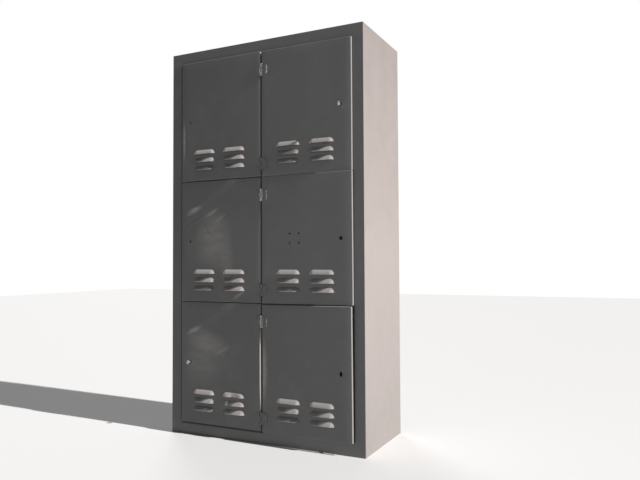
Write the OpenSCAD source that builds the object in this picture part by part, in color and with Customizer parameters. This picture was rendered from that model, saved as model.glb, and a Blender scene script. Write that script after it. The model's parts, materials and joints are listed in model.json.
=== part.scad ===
// Six-door parcel locker: a sheet-steel carcass with a flat front frame and two columns of
// three overlay doors. The doors of each pair hang back to back on the centre post.
// Millimetres, +Z up. The doors face -Y. The origin is the centre of the footprint, on the floor.

/* [Carcass] */
// Width of the carcass
body_w = 990; // [940:1:1100]
// Depth of the carcass, from the front frame's face to the back
body_d = 432; // [350:1:600]
// Height of the carcass
body_h = 1800; // [1700:1:2000]
// Thickness of the carcass sheet
sheet = 1.2; // [1:0.1:1.5]

/* [Front frame] */
// Height of frame left bare above the top doors and below the bottom doors
frame_show = 56; // [50:1:80]
// Width of the frame's stiles, part of it behind the doors
stile_w = 75; // [70:1:85]
// Width of the centre post
post_w = 50; // [40:1:60]
// Height of the rails between the tiers
rail_h = 40; // [30:1:44]

/* [Doors] */
// How far the doors and the centre post sit to the right of the carcass's middle
stack_shift = 6.5; // [0:0.5:8]
// Width of one door
door_w = 437; // [420:1:440]
// Gap between the two doors of a pair
seam = 8; // [8:0.5:10]
// Gap between one door and the next above it
tier_gap = 3; // [2:0.5:6]
// Thickness of the door sheet
door_sheet = 1; // [0.8:0.1:1.2]
// Depth of a door's folded edge
door_fold = 10; // [10:0.5:12]
// Air between a closed door and the front frame
door_air = 1; // [0.8:0.1:2]
// How far the bottom right door, which has lost its lock, hangs open, in degrees
hang = 1; // [0:0.25:2]

/* [Louvres] */
// Length of one louvre
louvre_l = 118; // [90:1:130]
// Height of one louvre
louvre_h = 21; // [16:1:24]
// How far a louvre stands out of the door
louvre_out = 11; // [6:0.5:12]
// Distance from one louvre to the next above it
louvre_pitch = 38; // [34:1:44]
// Height of the lowest louvre's mouth above the door's bottom edge
louvre_low = 51; // [35:1:70]
// Gap between the two groups of louvres
group_gap = 45; // [40:1:60]
// How far the louvres sit to the left of each door's middle
louvre_left = 6; // [0:0.5:10]

/* [Hinges] */
// Height of one hinge
hinge_h = 55; // [45:1:70]
// Radius of a hinge's knuckle
knuckle_r = 3.5; // [3:0.1:3.6]
// Radius of a hinge pin
pin_r = 1.5; // [1:0.1:2]
// Distance from the door's top edge to the middle of its upper hinge
hinge_drop = 80; // [60:1:120]
// Distance from the door's bottom edge to the middle of its lower hinge
hinge_rise = 57; // [40:1:100]

/* [Locks] */
// Distance from a door's outer edge to the middle of its lock
lock_edge = 52; // [45:1:60]
// Radius of the lock's plug
plug_r = 8; // [7:0.5:9]
// How far a key stands out of its door
key_out = 26; // [22:1:32]

/* [Hidden] */
$fn = 48;

paint_dark = [0.29, 0.29, 0.29];
paint_light = [0.78, 0.75, 0.73];
zinc = [0.62, 0.61, 0.60];
rubber = [0.12, 0.12, 0.12];
eps = 0.01;
// How far a cutting shape runs past the surface it opens
cut = 1;

// Depth: the keys stand furthest forward and the back panel furthest back.
door_proud = door_fold + door_air;
front_y = -(body_d - door_proud - key_out) / 2;
back_y = front_y + body_d;
face_y = front_y - door_proud;

// Tiers, counted from the bottom: 0, 1 and 2.
tiers = 3;
tier_pitch = (body_h - 2 * frame_show) / tiers;
door_h = tier_pitch - tier_gap;
function split_z(tier) = frame_show + tier * tier_pitch;
function door_z(tier) = split_z(tier) + tier_gap / 2;
side_in = body_w / 2 - sheet;
stile_in = body_w / 2 - stile_w;
rail_lap = rail_h / 2;
end_lap = 15;

// Door: measured from the seam's middle outwards, from its face inwards and from its bottom up.
door_in = seam / 2;
door_out = door_in + door_w;
door_names = ["bl", "ml", "tl", "br", "mr", "tr"];
function door_side(d) = d < tiers ? -1 : 1;
function door_tier(d) = d % tiers;
door_ids = [0:2 * tiers - 1];
br = 3;

// Hinges
web_t = 1.6;
web_air = 0.3;
leaf_t = 2;
hinge_x = web_t / 2 + web_air + knuckle_r;
hinge_y = knuckle_r - leaf_t;
hinge_mid = [hinge_rise, door_h - hinge_drop];
leaf_out = 31;
leaf_air = 0.7;
leaf_in = hinge_x + knuckle_r + leaf_air;
leaf_trim = 3;
leaf_corner = 12;
knuckle_third = hinge_h / 3;
knuckle_air = 0.3;
pin_air = 0.05;
bridge_t = 1.5;
foot_w = 7;
foot_t = 0.8;
rivet_r = 3;
rivet_t = 1.2;
rivet_x = 20;
rivet_z = 13.5;
notch_air = 1;

// Louvres: each is a slice of a capsule whose axis lies behind the door's face.
cap_back = (louvre_h * louvre_h - louvre_out * louvre_out) / (2 * louvre_out);
cap_r = cap_back + louvre_out;
cap_run = louvre_l - 2 * louvre_h;
louvres_up = 3;
louvre_edge = (door_w - 2 * louvre_l - group_gap) / 2;

// Locks
lock_x = door_out - lock_edge;
lock_z = door_h / 2;
case_w = 36;
case_h = 50;
case_t = 14;
plug_air = 0.05;
hole_air = 0.15;
keyway_w = 5.5;
keyway_h = 13.5;
keyway_deep = 12;
plug_end = 0.3;
stub_r = 5;
stub_end = 0.5;
cam_y = 16;
cam_t = 2.5;
cam_w = 16;
cam_l = 45;
nut_w = 15;
nut_t = 2.5;
key_t = 1.8;
key_blade_h = 8;
key_bow_r = 9.5;
key_hole_r = 2.5;
key_end_air = 1;
strike_w = 14;
strike_t = 3;
bare_hole_w = 12;
bare_hole_h = 20;

// Stiffener behind each door
hat_w = 38;
hat_top = 18;
hat_deep = 8;
hat_end = 16;

// Label-holder holes in the middle right door
label_x = 167.5;
label_z = 284;
label_dx = 45;
label_dz = 41;
label_r = 2.75;

// Wall-anchor holes in the back panel
anchor_dx = 700;
anchor_dz = 1500;
anchor_mid_z = 950;
anchor_r = 4.5;

bumper_r = 5;
bumper_air = 0.3;
bumper_in = 9;
bumper_end = 40;

// A box between two corners
module span(a, b) {
    translate(a) cube(b - a);
}

// Puts a door's own coordinates in place; the left doors are mirror images.
module at_door(d) {
    open = d == br ? hang : 0;
    translate([stack_shift, 0, 0])
        mirror([door_side(d) < 0 ? 1 : 0, 0, 0])
            translate([hinge_x, face_y + hinge_y, door_z(door_tier(d))])
                rotate([0, 0, -open])
                    translate([-hinge_x, -hinge_y, 0]) children();
}

// Both halves of something that is the same left and right
module both_sides() {
    children();
    mirror([1, 0, 0]) children();
}

// An upright slot with round ends, cut through from front to back
module slot_y(w, h, y0, y1) {
    translate([0, y1, 0]) rotate([90, 0, 0]) linear_extrude(y1 - y0) union() {
        square([w, h - w], center = true);
        translate([0, (h - w) / 2]) circle(w / 2);
        translate([0, -(h - w) / 2]) circle(w / 2);
    }
}

// A disc or rod along Y, from depth y0 to depth y1
module rod_y(r, y0, y1) {
    translate([0, y0, 0]) rotate([-90, 0, 0]) cylinder(r = r, h = y1 - y0);
}

// ---- Carcass ----

module right_side_panel() {
    color(paint_light)
        span([side_in, front_y + sheet, sheet], [body_w / 2, back_y, body_h - sheet]);
}

module left_side_panel() {
    mirror([1, 0, 0]) right_side_panel();
}

module flat_cover(z) {
    color(paint_light)
        span([-body_w / 2, front_y + sheet, z], [body_w / 2, back_y, z + sheet]);
}

module top_panel() {
    flat_cover(body_h - sheet);
}

module base_panel() {
    flat_cover(0);
}

module back_panel() {
    color(paint_light) difference() {
        span([-side_in, back_y - sheet, sheet], [side_in, back_y, body_h - sheet]);
        for (x = [-1, 1], z = [-1, 1])
            translate([x * anchor_dx / 2, back_y + cut, anchor_mid_z + z * anchor_dz / 2])
                rotate([90, 0, 0]) cylinder(r = anchor_r, h = sheet + 2 * cut);
    }
}

module centre_partition() {
    color(paint_light)
        span([stack_shift - sheet / 2, front_y + sheet, frame_show + end_lap],
             [stack_shift + sheet / 2, back_y - sheet, body_h - sheet]);
}

// The pair of shelves whose tops lie at height z
module shelf_pair(z) {
    color(paint_light) for (s = [-1, 1]) mirror([s < 0 ? 1 : 0, 0, 0])
        span([s * stack_shift + sheet / 2, front_y + sheet, z - sheet],
             [side_in, back_y - sheet, z]);
}

module compartment_floors() {
    shelf_pair(frame_show + end_lap);
}

module middle_shelves() {
    shelf_pair(split_z(1) + rail_lap);
}

module upper_shelves() {
    shelf_pair(split_z(2) + rail_lap);
}

// ---- Front frame ----

// A flat strip of the front frame between two places
module frame_strip(x0, x1, z0, z1) {
    color(paint_dark) span([x0, front_y, z0], [x1, front_y + sheet, z1]);
}

module frame_right_stile() {
    frame_strip(stile_in, body_w / 2, 0, body_h);
}

module frame_left_stile() {
    mirror([1, 0, 0]) frame_right_stile();
}

module frame_top_rail() {
    frame_strip(-stile_in, stile_in, body_h - frame_show - end_lap, body_h);
}

module frame_bottom_rail() {
    frame_strip(-stile_in, stile_in, 0, frame_show + end_lap);
}

module centre_post() {
    frame_strip(stack_shift - post_w / 2, stack_shift + post_w / 2,
                frame_show + end_lap, body_h - frame_show - end_lap);
}

module cross_rails(z) {
    for (s = [-1, 1]) mirror([s < 0 ? 1 : 0, 0, 0])
        frame_strip(s * stack_shift + post_w / 2, stile_in, z - rail_lap, z + rail_lap);
}

module lower_cross_rails() {
    cross_rails(split_z(1));
}

module upper_cross_rails() {
    cross_rails(split_z(2));
}

// Keepers that the lock cams turn behind, on the back of the stiles
module strike_plates() {
    color(zinc) for (d = door_ids) if (d != br)
        mirror([door_side(d) < 0 ? 1 : 0, 0, 0])
            translate([stile_in, front_y + sheet, door_z(door_tier(d)) + lock_z - case_h / 2])
                cube([strike_w, strike_t, case_h]);
}

module door_bumpers() {
    color(rubber) translate([stack_shift, 0, 0]) both_sides()
        for (tier = [0:tiers - 1], z = [bumper_end, door_h - bumper_end])
            translate([door_out - bumper_in, front_y, door_z(tier) + z])
                rotate([90, 0, 0])
                    cylinder(r = bumper_r, h = door_proud - door_sheet - bumper_air);
}

// ---- Hinges ----

// Puts a hinge's own coordinates in place; they start at the hinge's bottom.
module at_hinges(tier) {
    for (z = hinge_mid)
        translate([stack_shift, face_y, door_z(tier) + z - hinge_h / 2]) children();
}

// One knuckle between two heights, without its bore
module knuckle(z0, z1) {
    translate([hinge_x, hinge_y, z0]) cylinder(r = knuckle_r, h = z1 - z0);
}

// Bracket welded to the centre post; it carries the pins of both doors of a pair.
module hinge_bracket() {
    difference() {
        union() {
            span([-web_t / 2, -leaf_t, 0], [web_t / 2, door_proud, hinge_h]);
            span([-foot_w / 2, door_proud - foot_t, 0], [foot_w / 2, door_proud, hinge_h]);
            for (z = [0, 2 * knuckle_third]) {
                span([-hinge_x, -leaf_t, z], [hinge_x, bridge_t - leaf_t, z + knuckle_third]);
                both_sides() knuckle(z, z + knuckle_third);
            }
        }
        both_sides() translate([hinge_x, hinge_y, -cut])
            cylinder(r = pin_r, h = hinge_h + 2 * cut);
    }
}

module hinge_brackets() {
    color(paint_dark) for (tier = [0:tiers - 1]) at_hinges(tier) hinge_bracket();
}

module hinge_pins() {
    color(zinc) for (tier = [0:tiers - 1]) at_hinges(tier)
        both_sides() translate([hinge_x, hinge_y, 0]) cylinder(r = pin_r, h = hinge_h);
}

// Leaf on the face of a door: a plate with a rounded outer side and one knuckle
module hinge_leaf() {
    low = knuckle_third + knuckle_air;
    high = 2 * knuckle_third - knuckle_air;
    difference() {
        union() {
            rotate([90, 0, 0]) linear_extrude(leaf_t) leaf_outline();
            span([hinge_x, -leaf_t, low], [leaf_in + leaf_t, 0, high]);
            knuckle(low, high);
        }
        translate([hinge_x, hinge_y, low - cut])
            cylinder(r = pin_r + pin_air, h = high - low + 2 * cut);
    }
    for (z = [rivet_z, hinge_h - rivet_z])
        translate([rivet_x, -leaf_t, z]) rotate([90, 0, 0]) cylinder(r = rivet_r, h = rivet_t);
}

module leaf_outline() {
    translate([leaf_in, leaf_trim])
        square([leaf_out - leaf_in - leaf_corner, hinge_h - 2 * leaf_trim]);
    translate([leaf_in, leaf_trim + leaf_corner])
        square([leaf_out - leaf_in, hinge_h - 2 * (leaf_trim + leaf_corner)]);
    intersection() {
        for (z = [leaf_trim + leaf_corner, hinge_h - leaf_trim - leaf_corner])
            translate([leaf_out - leaf_corner, z]) circle(leaf_corner);
        translate([leaf_in, 0]) square([leaf_out, hinge_h]);
    }
}

module hinge_leaves(d) {
    color(paint_dark) at_door(d)
        for (z = hinge_mid) translate([0, 0, z - hinge_h / 2]) hinge_leaf();
}

// ---- Doors ----

// The folded tray that a door is made of, with room cut out for the hinges
module door_tray() {
    difference() {
        span([door_in, 0, 0], [door_out, door_fold, door_h]);
        span([door_in + door_sheet, door_sheet, door_sheet],
             [door_out - door_sheet, door_fold + cut, door_h - door_sheet]);
        for (z = hinge_mid)
            span([door_in - cut, -cut, z - hinge_h / 2 - notch_air],
                 [leaf_in, door_fold + cut, z + hinge_h / 2 + notch_air]);
    }
}

// Capsule of radius r lying along X, its upper half only, up to depth deep behind the face
module capsule_slice(r, deep) {
    intersection() {
        translate([0, cap_back, 0]) union() {
            rotate([0, 90, 0]) cylinder(r = r, h = cap_run, center = true);
            for (x = [-1, 1]) translate([x * cap_run / 2, 0, 0]) sphere(r = r);
        }
        span([-louvre_l, -louvre_l, 0], [louvre_l, deep, louvre_l]);
    }
}

module at_louvres(d) {
    first = door_in + louvre_edge + louvre_l / 2 - door_side(d) * louvre_left;
    for (g = [0, 1], k = [0:louvres_up - 1])
        translate([first + g * (louvre_l + group_gap), 0, louvre_low + k * louvre_pitch])
            children();
}

module door_panel(d) {
    color(paint_dark) at_door(d) difference() {
        union() {
            door_tray();
            at_louvres(d) capsule_slice(cap_r, door_sheet / 2);
        }
        at_louvres(d) capsule_slice(cap_r - door_sheet, door_sheet + eps);
        translate([lock_x, 0, lock_z]) {
            if (d == br) slot_y(bare_hole_w, bare_hole_h, -cut, door_sheet + cut);
            else rod_y(plug_r + hole_air, -cut, door_sheet + cut);
        }
        if (door_names[d] == "mr") for (x = [-1, 1], z = [-1, 1])
            translate([label_x + x * label_dx / 2, 0, label_z + z * label_dz / 2])
                rod_y(label_r, -cut, door_sheet + cut);
    }
}

// Hat-shaped channel welded up the middle of a door's back
module door_stiffener(d) {
    half = hat_w / 2;
    top = hat_top / 2;
    t = door_sheet;
    deep = door_sheet + hat_deep;
    color(paint_dark) at_door(d)
        translate([(door_in + door_out) / 2, 0, hat_end])
            linear_extrude(door_h - 2 * hat_end)
                polygon([[-half, t], [-top, t], [-top, deep - t], [top, deep - t], [top, t],
                         [half, t], [half, 2 * t], [top + t, 2 * t], [top + t, deep],
                         [-top - t, deep], [-top - t, 2 * t], [-half, 2 * t]]);
}

// ---- Locks ----

module at_lock(d) {
    at_door(d) translate([lock_x, 0, lock_z]) children();
}

module lock_case(d) {
    color(zinc) at_lock(d) difference() {
        span([-case_w / 2, door_sheet, -case_h / 2],
             [case_w / 2, door_sheet + case_t, case_h / 2]);
        rod_y(plug_r + plug_air, 0, door_sheet + case_t + cut);
    }
}

module lock_plug(d) {
    color(zinc) at_lock(d) difference() {
        union() {
            rod_y(plug_r, 0, door_sheet + case_t + plug_end);
            rod_y(stub_r, door_sheet + case_t, cam_y + cam_t + nut_t + stub_end);
        }
        slot_y(keyway_w, keyway_h, -cut, keyway_deep);
    }
}

// Cam and its nut. It hangs down when the lock is open.
module lock_cam(d) {
    color(zinc) at_lock(d) {
        difference() {
            translate([0, cam_y + cam_t, 0]) rotate([90, 0, 0]) linear_extrude(cam_t) union() {
                circle(cam_w / 2);
                translate([-cam_w / 2, cam_w / 2 - cam_l]) square([cam_w, cam_l - cam_w / 2]);
                translate([0, cam_w / 2 - cam_l]) circle(cam_w / 2);
            }
            rod_y(stub_r, 0, cam_y + cam_t + cut);
        }
        difference() {
            translate([0, cam_y + cam_t, 0]) rotate([-90, 0, 0])
                cylinder(d = nut_w, h = nut_t, $fn = 6);
            rod_y(stub_r, 0, cam_y + cam_t + nut_t + cut);
        }
    }
}

// A flat key: a round bow with a hole, and a blade that reaches into the keyway
module key(d) {
    bow_y = key_bow_r - key_out;
    color(zinc) at_lock(d) rotate([0, 90, 0])
        translate([0, 0, -key_t / 2]) linear_extrude(key_t) difference() {
            union() {
                translate([0, bow_y]) circle(key_bow_r);
                translate([-key_blade_h / 2, bow_y])
                    square([key_blade_h, keyway_deep - key_end_air - bow_y]);
            }
            translate([0, bow_y - key_bow_r / 2]) circle(key_hole_r);
        }
}

// ---- Placing ----

left_side_panel();
right_side_panel();
back_panel();
top_panel();
base_panel();
centre_partition();
compartment_floors();
middle_shelves();
upper_shelves();
frame_left_stile();
frame_right_stile();
frame_top_rail();
frame_bottom_rail();
centre_post();
lower_cross_rails();
upper_cross_rails();
strike_plates();
door_bumpers();
hinge_brackets();
hinge_pins();
for (d = door_ids) door_panel(d);
for (d = door_ids) door_stiffener(d);
for (d = door_ids) hinge_leaves(d);
for (d = door_ids) lock_case(d);
for (d = door_ids) lock_plug(d);
for (d = door_ids) lock_cam(d);
key(5);  // key_tr
key(0);  // key_bl
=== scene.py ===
"""The look of the parcel locker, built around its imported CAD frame."""
import json
import math

import bmesh
import bpy
from mathutils import Matrix, Vector, geometry


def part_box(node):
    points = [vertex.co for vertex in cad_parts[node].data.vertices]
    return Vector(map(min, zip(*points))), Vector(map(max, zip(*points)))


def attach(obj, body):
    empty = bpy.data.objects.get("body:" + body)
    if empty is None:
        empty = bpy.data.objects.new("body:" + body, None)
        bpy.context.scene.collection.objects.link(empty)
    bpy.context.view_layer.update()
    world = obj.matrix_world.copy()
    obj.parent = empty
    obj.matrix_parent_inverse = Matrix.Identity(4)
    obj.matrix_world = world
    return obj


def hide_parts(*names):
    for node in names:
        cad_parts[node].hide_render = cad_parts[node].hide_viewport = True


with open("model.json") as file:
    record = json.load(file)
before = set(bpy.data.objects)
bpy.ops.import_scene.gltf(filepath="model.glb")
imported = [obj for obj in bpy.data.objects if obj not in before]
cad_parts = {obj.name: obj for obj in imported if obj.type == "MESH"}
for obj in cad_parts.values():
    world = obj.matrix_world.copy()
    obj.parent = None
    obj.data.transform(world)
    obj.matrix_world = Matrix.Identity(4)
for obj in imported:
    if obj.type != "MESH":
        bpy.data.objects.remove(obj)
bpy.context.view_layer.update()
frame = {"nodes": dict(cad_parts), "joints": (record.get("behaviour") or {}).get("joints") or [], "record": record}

MM = 0.001

# ---------------------------------------------------------------- places, from the frame

DOOR_LO, DOOR_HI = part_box("door_panel_tr")
FRONT_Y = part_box("frame_right_stile")[0].y
BACK_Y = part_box("back_panel")[1].y
SEAM_X = (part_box("door_panel_tl")[1].x + DOOR_LO.x) / 2
TIER_PITCH = DOOR_LO.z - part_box("door_panel_mr")[0].z
DOOR_W = DOOR_HI.x - DOOR_LO.x
DOOR_H = DOOR_HI.z - DOOR_LO.z
LOW_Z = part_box("door_panel_bl")[0].z
FOLD = 10 * MM
FACE_Y = DOOR_HI.y - FOLD
DOORS = ("tl", "ml", "bl", "tr", "mr", "br")

# ---------------------------------------------------------------- camera and light

LENS_MM = 35.67
SENSOR_MM = 36.0
# From the middle of the carcass on the floor, in metres, and the turn in radians
CAMERA_AT = (1.4828, -2.6340, 0.8053)
CAMERA_TURN = (1.60373, 0.00467, 0.45776)
# Each sun: where its light comes from, its strength, its angle in degrees and its colour
SUNS = {
    "key": ((0.829, -0.024, 0.559), 4.8, 0.7, (1.0, 0.985, 0.97)),
    "fill": ((-0.6, 0.7, 0.4), 1.0, 25.0, (0.97, 0.985, 1.0)),
}
GLOW_COLOUR = (1.0, 0.99, 0.98, 1)
GLOW = 0.12
FLOOR_HALF = 12.0


def add_camera():
    """The camera, where the photograph's perspective puts it beside an 1800 mm high carcass."""
    data = bpy.data.cameras.new("camera")
    data.lens = LENS_MM
    data.sensor_width = SENSOR_MM
    cam = bpy.data.objects.new("camera", data)
    middle_y = (FRONT_Y + BACK_Y) / 2
    cam.location = (CAMERA_AT[0], middle_y + CAMERA_AT[1], CAMERA_AT[2])
    cam.rotation_euler = CAMERA_TURN
    bpy.context.scene.collection.objects.link(cam)
    bpy.context.scene.camera = cam


def add_sun(name, toward, strength, angle, colour):
    """A sun whose light comes from the direction `toward`; the angle is in degrees."""
    data = bpy.data.lights.new(name, "SUN")
    data.energy = strength
    data.angle = math.radians(angle)
    data.color = colour
    sun = bpy.data.objects.new(name, data)
    sun.rotation_euler = Vector(toward).to_track_quat("Z", "Y").to_euler()
    bpy.context.scene.collection.objects.link(sun)


def add_world():
    """White surroundings, which light the scene less than they show."""
    world = bpy.data.worlds.new("studio")
    world.use_nodes = True
    tree = world.node_tree
    tree.nodes.clear()
    out = tree.nodes.new("ShaderNodeOutputWorld")
    seen = tree.nodes.new("ShaderNodeBackground")
    seen.inputs["Color"].default_value = (1, 1, 1, 1)
    glow = tree.nodes.new("ShaderNodeBackground")
    glow.inputs["Color"].default_value = GLOW_COLOUR
    glow.inputs["Strength"].default_value = GLOW
    path = tree.nodes.new("ShaderNodeLightPath")
    mix = tree.nodes.new("ShaderNodeMixShader")
    tree.links.new(path.outputs["Is Camera Ray"], mix.inputs[0])
    tree.links.new(glow.outputs[0], mix.inputs[1])
    tree.links.new(seen.outputs[0], mix.inputs[2])
    tree.links.new(mix.outputs[0], out.inputs[0])
    bpy.context.scene.world = world


def add_floor():
    """A plain pale floor."""
    mesh = bpy.data.meshes.new("floor")
    half = FLOOR_HALF
    mesh.from_pydata([(-half, -half, 0), (half, -half, 0), (half, half, 0), (-half, half, 0)],
                     [], [(0, 1, 2, 3)])
    floor = bpy.data.objects.new("floor", mesh)
    bpy.context.scene.collection.objects.link(floor)
    paint = Paint("pale_floor")
    paint.set("Base Color", (*FLOOR_PALE, 1))
    paint.set("Roughness", 0.9)
    mesh.materials.append(paint.material)


# ---------------------------------------------------------------- materials

# The front's greys are darker than the sides' enamel partly as painted shade: the front stands in shade and the
# sides in the light.
FRONT_GREY_WITH_SHADE = (0.120, 0.120, 0.121)
FRONT_PALER_GREY_WITH_SHADE = (0.160, 0.160, 0.161)
# Dust colour, also used for the painted light on the frame's rails.
DUST_AND_PAINTED_LIGHT = (0.215, 0.215, 0.214)
# Pale colour of the painted patches of reflected light.
LIGHT_PATCH_PALE = (0.31, 0.305, 0.297)
# Near-black, for the frame's painted shade and the front's darkening towards the bottom.
NEAR_BLACK = (0.03, 0.03, 0.03)
# Dark colour of the scratches and of the painted shade round the label holes.
SCRATCH_AND_HOLE_SHADE = (0.045, 0.045, 0.045)
# Pale colour for rubbing, and for painted highlights and painted sunlight.
RUBBED_AND_LIT = (0.50, 0.467, 0.453)
LIGHT_LOW = (0.375, 0.331, 0.314)
LIGHT_HIGH = (0.405, 0.358, 0.340)
LIGHT_STREAK = (0.34, 0.30, 0.285)
# Dark colour for the patchy dirt low down and the painted shade high up.
LIGHT_DIRT_AND_SHADE = (0.22, 0.195, 0.185)
LIGHT_CHIP = (0.30, 0.28, 0.26)
ZINC = ((0.30, 0.30, 0.29), (0.42, 0.42, 0.41))
# Near-black metal: tarnish, and painted shade for the keyholes.
TARNISH_AND_SHADE = ((0.03, 0.03, 0.03), (0.06, 0.06, 0.06))
NICKEL = ((0.74, 0.73, 0.70), (0.86, 0.85, 0.82))
RUBBER = ((0.014, 0.014, 0.014), (0.03, 0.03, 0.029))
FLOOR_PALE = (0.82, 0.82, 0.82)
# The Mix node's colour sockets, by number
MIX_A = 6
MIX_B = 7
MIX_OUT = 2
# A spot's reach along Y, in metres, so that it doesn't depend on depth
ANY_DEPTH = 1000


class Paint:
    """A material with one Principled shader, and short calls for its nodes."""

    def __init__(self, name):
        self.material = bpy.data.materials.new(name)
        self.material.use_nodes = True
        self.tree = self.material.node_tree
        self.shader = self.tree.nodes["Principled BSDF"]
        self.places = None

    def set(self, socket, value):
        self.shader.inputs[socket].default_value = value

    def node(self, kind, **values):
        node = self.tree.nodes.new(kind)
        for key, value in values.items():
            setattr(node, key, value)
        return node

    def link(self, a, b):
        self.tree.links.new(a, b)

    def places_at(self):
        """Object coordinates, which are the row's own, in metres."""
        if self.places is None:
            self.places = self.node("ShaderNodeTexCoord").outputs["Object"]
        return self.places

    def place(self, scale=(1, 1, 1), turn=(0, 0, 0)):
        """Object coordinates, stretched and turned."""
        mapping = self.node("ShaderNodeMapping")
        mapping.inputs["Scale"].default_value = scale
        mapping.inputs["Rotation"].default_value = turn
        self.link(self.places_at(), mapping.inputs["Vector"])
        return mapping.outputs[0]

    def noise(self, scale, detail=4.0, rough=0.5, stretch=(1, 1, 1), turn=(0, 0, 0)):
        node = self.node("ShaderNodeTexNoise")
        node.inputs["Scale"].default_value = scale
        node.inputs["Detail"].default_value = detail
        node.inputs["Roughness"].default_value = rough
        self.link(self.place(stretch, turn), node.inputs["Vector"])
        return node.outputs["Fac"]

    def between(self, value, low, high, to_low=0.0, to_high=1.0):
        """value, mapped from low..high to to_low..to_high and clamped."""
        node = self.node("ShaderNodeMapRange")
        node.inputs["From Min"].default_value = low
        node.inputs["From Max"].default_value = high
        node.inputs["To Min"].default_value = to_low
        node.inputs["To Max"].default_value = to_high
        self.link(value, node.inputs["Value"])
        return node.outputs[0]

    def math(self, kind, a, b):
        node = self.node("ShaderNodeMath", operation=kind)
        for value, socket in ((a, node.inputs[0]), (b, node.inputs[1])):
            if isinstance(value, (int, float)):
                socket.default_value = value
            else:
                self.link(value, socket)
        return node.outputs[0]

    def times(self, a, b):
        return self.math("MULTIPLY", a, b)

    def mix(self, factor, a, b):
        """Colour a, turning into colour b as factor goes from 0 to 1."""
        node = self.node("ShaderNodeMix", data_type="RGBA")
        self.link(factor, node.inputs["Factor"])
        for value, socket in ((a, node.inputs[MIX_A]), (b, node.inputs[MIX_B])):
            if isinstance(value, tuple):
                socket.default_value = (*value, 1)
            else:
                self.link(value, socket)
        return node.outputs[MIX_OUT]

    def axis(self, name):
        """One of the row's own coordinates, in metres."""
        split = self.node("ShaderNodeSeparateXYZ")
        self.link(self.places_at(), split.inputs[0])
        return split.outputs[name]

    def band(self, name, low, high, soft=0.5 * MM):
        """1 where the coordinate lies between low and high, 0 elsewhere."""
        rise = self.between(self.axis(name), low - soft, low + soft)
        fall = self.between(self.axis(name), high - soft, high + soft, 1, 0)
        return self.times(rise, fall)

    def patch(self, x_low, x_high, z_low, z_high):
        """1 inside a rectangle on the front, 0 elsewhere."""
        return self.times(self.band("X", x_low, x_high), self.band("Z", z_low, z_high))

    def spot(self, x, z, half_x, half_z, tilt=0, edge=0.5):
        """1 inside an ellipse on the front, falling to 0 at its rim; tilt is in degrees."""
        mapping = self.node("ShaderNodeMapping", vector_type="TEXTURE")
        mapping.inputs["Location"].default_value = (x, 0, z)
        mapping.inputs["Rotation"].default_value = (0, math.radians(-tilt), 0)
        mapping.inputs["Scale"].default_value = (half_x, ANY_DEPTH, half_z)
        self.link(self.places_at(), mapping.inputs["Vector"])
        length = self.node("ShaderNodeVectorMath", operation="LENGTH")
        self.link(mapping.outputs[0], length.inputs[0])
        return self.between(length.outputs["Value"], 1 - edge, 1, 1, 0)

    def front_side(self, full, none):
        """1 where the surface's normal has a y up to `full`, falling to 0 at `none`."""
        split = self.node("ShaderNodeSeparateXYZ")
        self.link(self.node("ShaderNodeTexCoord").outputs["Normal"], split.inputs[0])
        return self.between(split.outputs["Y"], full, none, 1, 0)

    def attribute(self, name):
        return self.node("ShaderNodeAttribute", attribute_name=name).outputs["Fac"]

    def bump(self, heights):
        """heights is a list of (value, strength, distance)."""
        normal = None
        for value, strength, distance in heights:
            node = self.node("ShaderNodeBump")
            node.inputs["Strength"].default_value = strength
            node.inputs["Distance"].default_value = distance
            self.link(value, node.inputs["Height"])
            if normal is not None:
                self.link(normal, node.inputs["Normal"])
            normal = node.outputs[0]
        self.link(normal, self.shader.inputs["Normal"])

    def finish(self, colour, roughness):
        self.link(colour, self.shader.inputs["Base Color"])
        self.link(roughness, self.shader.inputs["Roughness"])


# How far each door's top and bottom edges lie above their nominal places, in mm
TRIM = {"tl": (3, 1), "tr": (2, -1.5), "ml": (-1, 0), "mr": (0.5, 0), "bl": (0, 1), "br": (-4, -1)}
# How much narrower than nominal each door is, in mm
NARROW = {"tl": 2.8, "ml": 2.8, "bl": 2.8, "tr": 2, "mr": 0, "br": 2}

# Painted patches of reflected light and a painted highlight along the top left door's left edge,
# in mm from the door's lower left corner as seen from the front:
# door, across, up, half length, half width, tilt in degrees, strength
PAINTED_LIGHT_PATCHES = (
    ("ml", 74, 424, 54, 17, 24, 0.95),
    ("ml", 172, 408, 54, 10, 30, 0.75),
    ("ml", 222, 383, 46, 12, 35, 0.5),
    ("ml", 185, 290, 110, 150, 0, 0.48),
    ("ml", 255, 190, 45, 110, 0, 0.30),
    ("ml", 318, 30, 48, 9, 30, 0.65),
    ("bl", 76, 430, 54, 16, 24, 0.9),
    ("bl", 150, 375, 130, 62, -14, 0.44),
    ("bl", 120, 290, 130, 130, 0, 0.25),
    ("bl", 230, 340, 60, 8, 28, 0.35),
    ("br", 8, 262, 160, 20, 90, 0.85),
    ("tl", 15, 190, 110, 8, 90, 1.0),
)
# Thin dark scratches, in the same terms, without a strength
SCRATCHES = (
    ("ml", 150, 333, 58, 2.2, -56),
    ("ml", 70, 372, 80, 1.6, 28),
    ("bl", 262, 330, 22, 2, -10),
)
# The ring of painted shade round each of the label holder's holes, and how strong it and a scratch are
SHADE_RING = 6 * MM
SHADE_RING_STRENGTH = 0.8
SCRATCH_STRENGTH = 0.5


def door_spot(p, door, across, up, half_length, half_width, tilt, edge):
    """A spot on a door; the sizes are in mm, from the door's lower left corner."""
    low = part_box("door_panel_" + door)[0]
    return p.spot(low.x + across * MM, low.z + up * MM,
                  half_length * MM, half_width * MM, tilt, edge)


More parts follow.
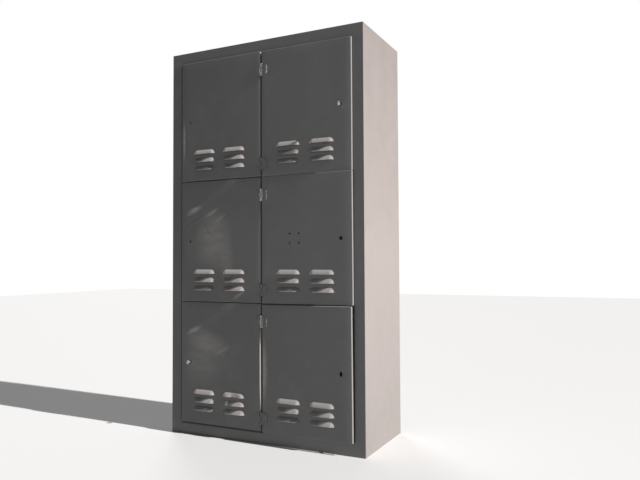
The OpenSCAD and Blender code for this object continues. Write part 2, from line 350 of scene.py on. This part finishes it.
def marks(p, colour):
    """The colour with the doors' painted light patches, scratches and painted shade round the label holes on it.
    """
    streaks = p.between(p.noise(9.0, 3.0, 0.6, (1, 1, 5), (0, 0.5, 0)), 0.35, 0.60, 0.55, 1.0)
    # Painted patches of reflected light and a painted highlight.
    for *place, strength in PAINTED_LIGHT_PATCHES:
        spot = door_spot(p, *place, 0.7)
        colour = p.mix(p.times(p.times(spot, strength), streaks), colour, LIGHT_PATCH_PALE)
    for place in SCRATCHES:
        spot = door_spot(p, *place, 0.4)
        colour = p.mix(p.times(spot, SCRATCH_STRENGTH), colour, SCRATCH_AND_HOLE_SHADE)
    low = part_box("door_panel_mr")[0]
    # Painted shade round each label hole.
    for u, z in label_holes():
        spot = p.spot(low.x + u, low.z + z, SHADE_RING, SHADE_RING)
        colour = p.mix(p.times(spot, SHADE_RING_STRENGTH), colour, SCRATCH_AND_HOLE_SHADE)
    return colour


def front_paint(p):
    """The dark front colour: a grey, darker than the sides' partly as painted shade, with faint
    mottling, paler towards the right, darker towards the bottom, with dust, and on its outside
    painted light patches, scratches and painted shade round the label holes.
    """
    mottle = p.between(p.noise(2.2, 5.0, 0.6), 0.3, 0.7, 0.0, 0.3)
    # Paler towards the right.
    paler_to_right = p.between(p.axis("X"), -0.45, 0.40, 0.0, 0.95)
    colour = p.mix(p.math("ADD", mottle, paler_to_right), FRONT_GREY_WITH_SHADE, FRONT_PALER_GREY_WITH_SHADE)
    # Darker towards the bottom.
    darker_low = p.between(p.axis("Z"), 0.35, 0.75, 0.05, 0.0)
    colour = p.mix(darker_low, colour, NEAR_BLACK)
    dust = p.between(p.noise(9.0, 6.0, 0.65), 0.52, 0.78, 0.0, 0.25)
    colour = p.mix(dust, colour, DUST_AND_PAINTED_LIGHT)
    return p.mix(p.front_side(-0.3, 0.0), colour, marks(p, colour))


def front_finish(p, colour):
    """Semi-gloss enamel with orange peel over slightly wavy sheet."""
    rough = p.between(p.noise(14.0, 5.0), 0.3, 0.7, 0.40, 0.55)
    p.set("Specular IOR Level", 0.22)
    p.bump([(p.noise(420.0, 2.0), 0.08, 0.0004), (p.noise(5.0, 2.0), 0.35, 0.006)])
    p.finish(colour, rough)


def dark_enamel():
    """The doors' and the frame's enamel, lighter where the mesh's attribute says so: rubbing and dust,
    and painted highlights and painted sunlight on edges and louvres.
    """
    p = Paint("dark_enamel")
    patchiness = p.between(p.noise(70.0, 4.0), 0.2, 0.5, 0.8, 1.0)
    # Rubbing and dust, with painted highlights and painted sunlight, from the mesh's attribute.
    wear_and_light = p.times(p.attribute("wear_and_light"), p.times(patchiness, p.front_side(0.2, 0.6)))
    front_finish(p, p.mix(wear_and_light, front_paint(p), RUBBED_AND_LIT))
    return p.material


# The frame's painted shade, from the doors' edges: on their left, at their lower left corner, below
# them and at the right-hand doors' free edge; and how softly the painted light on the top rail begins
SHADE_LEFT = (-13 * MM, 1 * MM)
SHADE_CORNER = 8 * MM
SHADE_BELOW = 12 * MM
SHADE_RIGHT = (-12 * MM, 2 * MM)
LIGHT_BAND_SOFT = 4 * MM


def frame_enamel():
    """The same enamel on the frame: painted shade beside and below the doors and at the right-hand
    doors' free edge, and painted light on the lower and upper rails."""
    p = Paint("frame_enamel")
    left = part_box("door_panel_tl")[0].x + NARROW["tl"] * MM
    right = DOOR_HI.x
    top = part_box("door_panel_tl")[1].z
    low = LOW_Z + TRIM["bl"][1] * MM
    # Painted shade beside, below and right of the doors.
    beside = p.patch(left + SHADE_LEFT[0], left + SHADE_LEFT[1], low, top)
    below = p.patch(left - SHADE_CORNER, SEAM_X, low - SHADE_BELOW, low)
    gap = p.patch(right + SHADE_RIGHT[0], right + SHADE_RIGHT[1], low, top)
    fading = p.between(p.axis("Z"), LOW_Z + DOOR_H, LOW_Z + TIER_PITCH, 0.9, 0.3)
    painted_shade = p.math("MAXIMUM", p.times(beside, 0.85), p.times(below, 0.95))
    painted_shade = p.math("MAXIMUM", painted_shade, p.times(gap, fading))
    # Painted light on the bottom rail and on the top rail.
    painted_light_low = p.between(p.axis("Z"), 0, LOW_Z, 0.5, 0)
    painted_light_high = p.between(p.axis("Z"), top - LIGHT_BAND_SOFT, top + LIGHT_BAND_SOFT, 0, 0.25)
    lightened = p.mix(p.math("MAXIMUM", painted_light_low, painted_light_high), front_paint(p), DUST_AND_PAINTED_LIGHT)
    front_finish(p, p.mix(painted_shade, lightened, NEAR_BLACK))
    return p.material


# Where the hinges carry painted highlights, across from the seam: the knuckles' half width, and a leaf's rim
KNUCKLE = 8 * MM
LEAF_RIM = (26 * MM, 40 * MM)


def hinge_enamel():
    """The same enamel on the hinges, lightened by patchy painted highlights of sunlit metal on the
    knuckles and on the right-hand leaves' outer rims, most of all on each door's upper hinge."""
    p = Paint("hinge_enamel")
    knuckle = p.band("X", SEAM_X - KNUCKLE, SEAM_X + KNUCKLE)
    rim = p.band("X", SEAM_X + LEAF_RIM[0], SEAM_X + LEAF_RIM[1])
    tier = p.math("DIVIDE", p.math("SUBTRACT", p.axis("Z"), LOW_Z), TIER_PITCH)
    upper = p.between(p.math("FRACT", tier, 0), 0.49, 0.51, 0.0, 1)
    patchy_hinge = p.between(p.noise(160.0, 3.0), 0.42, 0.56, 0.3, 1)
    # Painted highlights on the knuckles and on the right-hand leaves' rims.
    wear_and_light = p.times(p.times(p.math("MAXIMUM", knuckle, rim), upper), patchy_hinge)
    front_finish(p, p.mix(wear_and_light, front_paint(p), RUBBED_AND_LIT))
    return p.material


def light_enamel():
    """Light warm grey enamel on the sides, top, back and shelves, duller low down with patchy dirt, and darker
    high up as painted shade.
    """
    p = Paint("light_enamel")
    tone = p.between(p.noise(1.6, 5.0, 0.6), 0.3, 0.7)
    colour = p.mix(tone, LIGHT_LOW, LIGHT_HIGH)
    streak = p.between(p.noise(9.0, 4.0, 0.5, (1, 1, 0.08)), 0.5, 0.8, 0.0, 0.15)
    colour = p.mix(streak, colour, LIGHT_STREAK)
    patchy = p.between(p.noise(5.0, 4.0), 0.2, 0.8, 0.7, 1.0)
    dirt = p.times(p.between(p.axis("Z"), 0.0, 0.85, 0.65, 0.0), patchy)
    colour = p.mix(dirt, colour, LIGHT_DIRT_AND_SHADE)
    # Painted shade: darker towards the top.
    colour = p.mix(p.between(p.axis("Z"), 0.9, 1.8, 0.0, 0.42), colour, LIGHT_DIRT_AND_SHADE)
    chip = p.between(p.noise(60.0, 4.0, 0.6), 0.70, 0.73, 0.0, 0.7)
    colour = p.mix(chip, colour, LIGHT_CHIP)
    rough = p.between(p.noise(12.0, 5.0), 0.3, 0.7, 0.42, 0.58)
    p.bump([(p.noise(420.0, 2.0), 0.08, 0.0004), (p.noise(4.0, 2.0), 0.25, 0.004)])
    p.finish(colour, rough)
    return p.material


def plated(name, colours, rough_low, rough_high):
    """Plated steel with fine brushing and dull patches."""
    p = Paint(name)
    colour = p.mix(p.between(p.noise(40.0, 5.0), 0.3, 0.7), *colours)
    rough = p.between(p.noise(25.0, 5.0), 0.3, 0.7, rough_low, rough_high)
    p.set("Metallic", 0.9)
    p.bump([(p.noise(700.0, 2.0, 0.5, (1, 1, 0.1)), 0.1, 0.0003)])
    p.finish(colour, rough)
    return p.material


def black_rubber():
    """Matt rubber."""
    p = Paint("black_rubber")
    p.bump([(p.noise(500.0), 0.2, 0.0003)])
    rough = p.between(p.noise(60.0), 0.3, 0.7, 0.65, 0.85)
    p.finish(p.mix(p.noise(80.0), *RUBBER), rough)
    return p.material


# ---------------------------------------------------------------- mesh helpers


def round_path(corners, steps=5):
    """A closed outline through corners given as (u, z, radius), with round corners."""
    points = []
    count = len(corners)
    for i, (u, z, radius) in enumerate(corners):
        here = Vector((u, z))
        if radius == 0:
            points.append(here)
            continue
        back = (Vector(corners[i - 1][:2]) - here).normalized()
        ahead = (Vector(corners[(i + 1) % count][:2]) - here).normalized()
        reach = radius / math.tan(back.angle(ahead) / 2)
        middle = here + (back + ahead).normalized() * (radius / math.sin(back.angle(ahead) / 2))
        start = here + back * reach - middle
        turn = start.angle_signed(here + ahead * reach - middle)
        for k in range(steps + 1):
            points.append(middle + Matrix.Rotation(-turn * k / steps, 2) @ start)
    return points


def inset(points, distance):
    """The outline moved inwards; the outline runs anticlockwise."""
    moved = []
    count = len(points)
    for i, here in enumerate(points):
        a = (here - points[i - 1]).normalized()
        b = (points[(i + 1) % count] - here).normalized()
        na, nb = Vector((-a.y, a.x)), Vector((-b.y, b.x))
        both = na + nb
        moved.append(here + both * (distance / max(both.dot(na), 0.2)))
    return moved


def resample(points, step):
    """The outline with extra points, no two further apart than step."""
    dense = []
    for i, here in enumerate(points):
        ahead = points[(i + 1) % len(points)]
        parts = max(1, math.ceil((ahead - here).length / step))
        dense += [here.lerp(ahead, k / parts) for k in range(parts)]
    return dense


def inside(point, outline):
    """Whether the point lies inside the outline."""
    hit = False
    for i, b in enumerate(outline):
        a = outline[i - 1]
        if (a.y > point.y) != (b.y > point.y):
            if point.x < (b.x - a.x) * (point.y - a.y) / (b.y - a.y) + a.x:
                hit = not hit
    return hit


def near(point, outline, limit):
    """Whether the point is closer to the outline than the limit."""
    for i, b in enumerate(outline):
        a = outline[i - 1]
        foot, part = geometry.intersect_point_line(point, a, b)
        part = min(max(part, 0.0), 1.0)
        if (a.lerp(b, part) - point).length < limit:
            return True
    return False


def bevel(piece, width):
    modifier = piece.modifiers.new("bevel", "BEVEL")
    modifier.width = width
    modifier.segments = 2
    modifier.limit_method = "ANGLE"


def link_mesh(name, bm, material, body):
    """The mesh as a piece of the scene that moves with one body."""
    mesh = bpy.data.meshes.new(name)
    bm.to_mesh(mesh)
    bm.free()
    piece = bpy.data.objects.new(name, mesh)
    bpy.context.scene.collection.objects.link(piece)
    mesh.materials.append(material)
    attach(piece, body)
    return piece


# ---------------------------------------------------------------- doors

LOUVRE_L = 118 * MM
LOUVRE_H = 21 * MM
LOUVRE_OUT = 11 * MM
LOUVRE_PITCH = 38 * MM
LOUVRE_LOW = 51 * MM
GROUP_GAP = 45 * MM
BEND = 2 * MM
SKIN = 1 * MM
GRID = 20 * MM
GRID_CLEAR = 4 * MM
WELD = 0.05 * MM
LOCK_EDGE = 52 * MM
HINGE_H = 55 * MM
HINGE_MIDS = (57 * MM, DOOR_H - 80 * MM)
NOTCH = 4.8 * MM
LOUVRE_LEFT = 6 * MM
PLUG_HOLE = 8.15 * MM
LOST_LOCK_HOLE = (12 * MM, 20 * MM)
LABEL_HOLE = 2.75 * MM
LABEL_MID = (163.5 * MM, 284 * MM)
LABEL_STEP = (45 * MM, 41 * MM)
CORNER = 3 * MM
NOTCH_CORNER = 1.2 * MM
NOTCH_AIR = 1 * MM
BR_CORNER_UP = 3 * MM
SHARP = math.radians(28)
# How far each door's louvres lie above their nominal place, in mm
LOUVRE_RISE = {"bl": 9, "br": 7, "ml": 1, "mr": 1, "tl": -3, "tr": -2}
# The stretch between a door's hinges where the bottom doors' hinge edges are bent, and the
# slightly longer one where the bottom left door's hinge edge carries a painted highlight
BENT_MIDDLE = 275 * MM
BENT_HALF = 195 * MM
LIT_EDGE_HALF = 200 * MM
BR_TWIST = math.radians(0.75)
BR_PRESSED = 3.5 * MM
BR_PRESSED_WIDTH = 60 * MM
BL_BULGE = 5.5 * MM
BL_BULGE_WIDTH = 90 * MM
# How far the middle right door's free edge stands off at its bottom, and how much more at its top
MR_OFF = (1.5 * MM, 3.5 * MM)


def side(door):
    """1 for a right-hand door, -1 for a left-hand one."""
    return 1 if door[1] == "r" else -1


def door_outline(door):
    """The door seen from outside: u from the hinge edge, z from the bottom, anticlockwise."""
    top_z = DOOR_H + TRIM[door][0] * MM
    low_z = TRIM[door][1] * MM
    free_z = top_z + (BR_CORNER_UP if door == "br" else 0)
    width = DOOR_W - NARROW[door] * MM
    corners = [(0, low_z, CORNER), (width, low_z, CORNER), (width, free_z, CORNER),
               (0, top_z, CORNER)]
    for middle in reversed(HINGE_MIDS):
        top = middle + HINGE_H / 2 + NOTCH_AIR
        low = middle - HINGE_H / 2 - NOTCH_AIR
        corners += [(0, top, NOTCH_CORNER), (NOTCH, top, NOTCH_CORNER),
                    (NOTCH, low, NOTCH_CORNER), (0, low, NOTCH_CORNER)]
    return round_path(corners)


def louvre_places(door):
    """Each louvre's group, level and place; group 0 is the nearer the hinges."""
    edge = (DOOR_W - 2 * LOUVRE_L - GROUP_GAP) / 2 - side(door) * LOUVRE_LEFT
    for group in (0, 1):
        u = edge + LOUVRE_L / 2 + group * (LOUVRE_L + GROUP_GAP)
        for level in range(3):
            yield group, level, u, LOUVRE_LOW + LOUVRE_RISE[door] * MM + level * LOUVRE_PITCH


def louvre_edge(steps=7, run=12):
    """The upper outline of a louvre from its right end over the top to its left end.
    Each entry is (outline point, mouth point below it)."""
    rows = []
    flat = LOUVRE_L / 2 - LOUVRE_H
    for k in range(steps + 1):
        angle = math.pi / 2 * k / steps
        rows.append((Vector((flat + LOUVRE_H * math.cos(angle), LOUVRE_H * math.sin(angle))),
                     Vector((flat, 0))))
    for k in range(1, run):
        u = flat - 2 * flat * k / run
        rows.append((Vector((u, LOUVRE_H)), Vector((u, 0))))
    for k in range(steps + 1):
        angle = math.pi / 2 * (1 + k / steps)
        rows.append((Vector((-flat + LOUVRE_H * math.cos(angle), LOUVRE_H * math.sin(angle))),
                     Vector((-flat, 0))))
    return rows


def louvre_hole(u, z):
    """The closed outline of the sheet's opening under one louvre."""
    return [edge + Vector((u, z)) for edge, _ in louvre_edge()]


def circle_hole(u, z, radius, count=20):
    return [Vector((u + radius * math.cos(math.tau * k / count),
                    z + radius * math.sin(math.tau * k / count))) for k in range(count)]


def slot_hole(u, z, width, height, count=8):
    """An upright slot with round ends."""
    points = []
    half = (height - width) / 2
    for end, start in ((1, 0), (-1, math.pi)):
        for k in range(count + 1):
            angle = start + math.pi * k / count
            points.append(Vector((u + width / 2 * math.cos(angle),
                                  z + end * half + width / 2 * math.sin(angle))))
    return points


def label_holes():
    """The label holder's four holes, in the middle right door's own coordinates."""
    for su in (-0.5, 0.5):
        for sz in (-0.5, 0.5):
            yield LABEL_MID[0] + su * LABEL_STEP[0], LABEL_MID[1] + sz * LABEL_STEP[1]


def door_holes(door):
    holes = [louvre_hole(u, z) for _, _, u, z in louvre_places(door)]
    lock_u = DOOR_W - LOCK_EDGE
    if door == "br":
        holes.append(slot_hole(lock_u, DOOR_H / 2, *LOST_LOCK_HOLE))
    else:
        holes.append(circle_hole(lock_u, DOOR_H / 2, PLUG_HOLE))
    if door == "mr":
        holes += [circle_hole(u, z, LABEL_HOLE, 12) for u, z in label_holes()]
    return holes


def hood_height(rho):
    """How far a louvre stands out, from its outline (rho 1) to its mouth (rho 0)."""
    return LOUVRE_OUT * (1 - rho) * (1 + 0.5 * rho)


# Dents in louvres, by door, group and level: middle and half width in mm along it, and depth
DENTS = {("bl", 0, 2): (-3, 21, 1.0), ("bl", 0, 1): (22, 9, 0.8), ("tr", 0, 2): (38, 4, 0.7)}


def dent(door, group, level, u, rho):
    """What is left of a louvre's height where it is dented."""
    if (door, group, level) not in DENTS:
        return 1.0
    middle, width, depth = DENTS[door, group, level]
    return 1 - depth * math.exp(-((u / MM - middle) / width) ** 4) * (1 - rho) ** 0.7


def hood_wear_and_light(door, group, level, u, rho):
    """How light a louvre is painted, as dust and as painted sunlight and painted shadow: the top one all
    over, the others lit along the lip and towards the right-hand end, which the louvre above doesn't shade."""
    if level == 2:
        return 0.65 + 0.35 * rho
    right = (side(door) * u / (LOUVRE_L / 2) + 1) / 2
    left_group = (group == 0) == (door[1] == "r")
    start = 0.62 if door == "tr" and left_group else 0.25
    ramp = (right - start - 0.15 * rho) / 0.3
    if level == 0 and left_group:
        ramp = (right - 0.45 - 1.2 * rho) / 0.3
    lip = (0.4 if left_group and door[0] == "t" else 0.65) - 3 * rho
    return 0.85 * min(max(ramp, lip, 0.1), 1)


def add_hood(bm, door, group, level, u0, z0, wear_and_light):
    """One louvre's hood, from its mouth to its outline in the sheet."""
    rows = 6
    columns = louvre_edge()
    grid = []
    for edge, mouth in columns:
        line = []
        for r in range(rows + 1):
            rho = 1 - r / rows
            flat = mouth.lerp(edge, rho)
            out = hood_height(rho) * dent(door, group, level, flat.x, rho)
            vert = bm.verts.new((u0 + flat.x, -out, z0 + flat.y))
            # Dust, and painted sunlight and shadow, on the louvre.
            vert[wear_and_light] = hood_wear_and_light(door, group, level, flat.x, rho) if r else 0.0
            line.append(vert)
        grid.append(line)
    for a, b in zip(grid, grid[1:]):
        for r in range(rows):
            bm.faces.new((a[r], b[r], b[r + 1], a[r + 1]))


def add_face(bm, outline, holes):
    """The flat of the door, triangulated around its holes."""
    points = resample(outline, GRID)
    edges = [(i, (i + 1) % len(points)) for i in range(len(points))]
    for hole in holes:
        first = len(points)
        points += hole
        edges += [(first + i, first + (i + 1) % len(hole)) for i in range(len(hole))]
    for i in range(1, int(DOOR_W / GRID)):
        for k in range(1, int(DOOR_H / GRID)):
            spot = Vector((i * GRID, k * GRID))
            if not inside(spot, outline) or near(spot, outline, GRID_CLEAR):
                continue
            if any(inside(spot, hole) or near(spot, hole, GRID_CLEAR) for hole in holes):
                continue
            points.append(spot)
    verts, _, faces, _, _, _ = geometry.delaunay_2d_cdt(points, edges, [], 0, 1e-6)
    made = [bm.verts.new((v.x, 0, v.y)) for v in verts]
    for face in faces:
        middle = sum((verts[i] for i in face), Vector((0, 0))) / len(face)
        if inside(middle, outline) and not any(inside(middle, hole) for hole in holes):
            bm.faces.new([made[i] for i in face])


# How wide the strips along a door's edges are in which the bend is lightened, as rubbing and painted highlight
FREE_EDGE = 6 * MM
HINGE_EDGE = 3 * MM
TOP_EDGE = 8 * MM


def edge_wear_and_highlight(door, u, z):
    """How far the bend and flange are lightened, as rubbing and as painted highlight where they face the
    light: along the door's free edge, on some top edges, and where the bottom left door's hinge edge bulges."""
    if u > DOOR_W - FREE_EDGE:
        return 0.58
    if door == "bl" and u < HINGE_EDGE:
        return 0.1 + 0.9 * swell(z, BENT_MIDDLE, LIT_EDGE_HALF, 6)
    if door[0] == "t" and z > DOOR_H - TOP_EDGE:
        return 0.9
    if door[1] == "r" and z > DOOR_H - TOP_EDGE:
        return 0.15 + 0.85 * u / DOOR_W
    return 0.1


def swell(z, middle, half, power=2):
    """A smooth hump, 1 at the middle and 0 from `half` away; a higher power is flatter-topped."""
    part = min(abs(z - middle) / half, 1)
    return (1 - part ** power) ** 2


def add_folds(bm, door, outline, wear_and_light):
    """The bend round the door's edge and the flange behind it."""
    rings = []
    steps = 4
    levels = [(BEND * (1 - math.sin(a)), BEND * (1 - math.cos(a)), min(a, 1))
              for a in (math.pi / 2 * k / steps for k in range(steps + 1))]
    levels.append((0, FOLD, 1.0))
    for distance, depth, worn_and_lit in levels:
        ring = []
        for point in inset(outline, distance):
            vert = bm.verts.new((point.x, depth, point.y))
            # Rubbing and painted highlight on the bend and flange.
            vert[wear_and_light] = worn_and_lit * edge_wear_and_highlight(door, point.x, point.y)
            ring.append(vert)
        rings.append(ring)
    count = len(outline)
    for a, b in zip(rings, rings[1:]):
        for i in range(count):
            k = (i + 1) % count
            bm.faces.new((a[i], b[i], b[k], a[k]))


def door_shape(door, u, y, z):
    """The depth y of a point of a door, with the sheet's bends: the bottom right door is twisted
    and its hinge edge pressed in, the middle right door's free edge stands off, and the bottom
    left door bulges between its hinges."""
    bent = swell(z, BENT_MIDDLE, BENT_HALF, 4)
    if door == "br":
        twist = BR_TWIST * min(max(z / DOOR_H, 0), 1)
        pressed = bent * max(1 - u / BR_PRESSED_WIDTH, 0) ** 2
        y += BR_PRESSED * pressed * max(1 - y / FOLD, 0) - math.tan(twist) * u
    if door == "mr":
        y -= (MR_OFF[0] + MR_OFF[1] * z / DOOR_H) * u / DOOR_W
    if door == "bl":
        y -= BL_BULGE * bent * max(1 - u / BL_BULGE_WIDTH, 0) ** 2
    return y


def place_door(door, piece):
    """Moves a piece from the door's own coordinates to the row's, at the pose of rest."""
    low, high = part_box("door_panel_" + door)
    mesh = piece.data
    if door[1] == "l":
        matrix = Matrix.Translation((high.x, FACE_Y, low.z)) @ Matrix.Scale(-1, 4, (1, 0, 0))
        mesh.flip_normals()
    else:
        matrix = Matrix.Translation((DOOR_LO.x, FACE_Y, low.z))
    hinge = next(j for j in frame["joints"] if j["name"] == f"door_{door}_hinge")
    hang = math.radians(-hinge["range_deg"][0])
    if hang:
        pin = Matrix.Translation(hinge["pos_m"])
        matrix = pin @ Matrix.Rotation(-hang, 4, "Z") @ pin.inverted() @ matrix
    mesh.transform(matrix)


def build_door(door, material):
    """The door's tray with its louvres, in the place of its CAD panel."""
    bm = bmesh.new()
    wear_and_light = bm.verts.layers.float.new("wear_and_light")
    outline = resample(door_outline(door), GRID)
    holes = door_holes(door)
    add_face(bm, inset(outline, BEND), holes)
    add_folds(bm, door, outline, wear_and_light)
    for group, level, u, z in louvre_places(door):
        add_hood(bm, door, group, level, u, z, wear_and_light)
    bmesh.ops.remove_doubles(bm, verts=bm.verts, dist=WELD)
    bmesh.ops.recalc_face_normals(bm, faces=bm.faces)
    for vert in bm.verts:
        vert.co.y = door_shape(door, *vert.co)
    face = max(bm.faces, key=lambda f: f.calc_area())
    if face.normal.y > 0:
        bmesh.ops.reverse_faces(bm, faces=bm.faces)
    for face in bm.faces:
        face.smooth = True
    for edge in bm.edges:
        edge.smooth = len(edge.link_faces) == 2 and edge.calc_face_angle() < SHARP
    piece = link_mesh("door_skin_" + door, bm, material, "door_" + door)
    place_door(door, piece)
    solid = piece.modifiers.new("thickness", "SOLIDIFY")
    solid.thickness = SKIN
    solid.offset = -1
    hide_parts("door_panel_" + door)


# The hat-shaped channel behind each door, as its CAD part has it
HAT_HALF = 19 * MM
HAT_TOP = 9 * MM
HAT_DEEP = 8 * MM
HAT_END = 16 * MM
HAT_ROWS = 12
HAT_BEVEL = 0.4 * MM


def build_stiffener(door, material):
    """The channel up the middle of a door's back, bent as the door's sheet is."""
    bm = bmesh.new()
    top, half, back = HAT_TOP, HAT_HALF, SKIN + HAT_DEEP
    outline = [(-half, SKIN), (-top, SKIN), (-top, back - SKIN), (top, back - SKIN), (top, SKIN),
               (half, SKIN), (half, 2 * SKIN), (top + SKIN, 2 * SKIN), (top + SKIN, back),
               (-top - SKIN, back), (-top - SKIN, 2 * SKIN), (-half, 2 * SKIN)]
    rings = []
    for row in range(HAT_ROWS + 1):
        z = HAT_END + (DOOR_H - 2 * HAT_END) * row / HAT_ROWS
        rings.append([bm.verts.new((DOOR_W / 2 + u, door_shape(door, DOOR_W / 2 + u, y, z), z))
                      for u, y in outline])
    for a, b in zip(rings, rings[1:]):
        for i in range(len(outline)):
            bm.faces.new((a[i - 1], a[i], b[i], b[i - 1]))
    bm.faces.new(rings[0])
    bm.faces.new(reversed(rings[-1]))
    bmesh.ops.recalc_face_normals(bm, faces=bm.faces)
    piece = link_mesh("door_channel_" + door, bm, material, "door_" + door)
    place_door(door, piece)
    bevel(piece, HAT_BEVEL)
    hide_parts("door_stiffener_" + door)


# ---------------------------------------------------------------- the whole scene

# The locks whose faces are dark with tarnish and painted near-black for the shade in their keyholes
DARKENED_LOCK_PLUGS = ("lock_plug_tr", "lock_plug_mr", "lock_plug_bl")


def dress_cad(materials):
    """Gives every CAD node its material."""
    slots = {row["node"]: row["material_slot"] for row in frame["record"]["subparts"]}
    for name, node in frame["nodes"].items():
        look = materials[slots[name]]
        if name.startswith("hinge_") and slots[name] == "door_paint":
            look = materials["hinges"]
        if name.startswith(("frame_", "centre_post")):
            look = materials["frame"]
        if name in DARKENED_LOCK_PLUGS:
            look = materials["lock_face"]
        node.data.materials.clear()
        node.data.materials.append(look)


def main():
    """Builds the studio and the locker."""
    add_camera()
    add_world()
    add_floor()
    for name, sun in SUNS.items():
        add_sun(name, *sun)
    materials = {
        "door_paint": dark_enamel(),
        "frame": frame_enamel(),
        "hinges": hinge_enamel(),
        "body_paint": light_enamel(),
        "zinc_plate": plated("dull_zinc", ZINC, 0.35, 0.5),
        "lock_face": plated("tarnish_and_keyhole_shade", TARNISH_AND_SHADE, 0.5, 0.65),
        "key_metal": plated("worn_nickel", NICKEL, 0.35, 0.5),
        "rubber": black_rubber(),
    }
    dress_cad(materials)
    for door in DOORS:
        build_door(door, materials["door_paint"])
        build_stiffener(door, materials["door_paint"])
    bpy.context.scene.view_settings.view_transform = "Standard"


main()
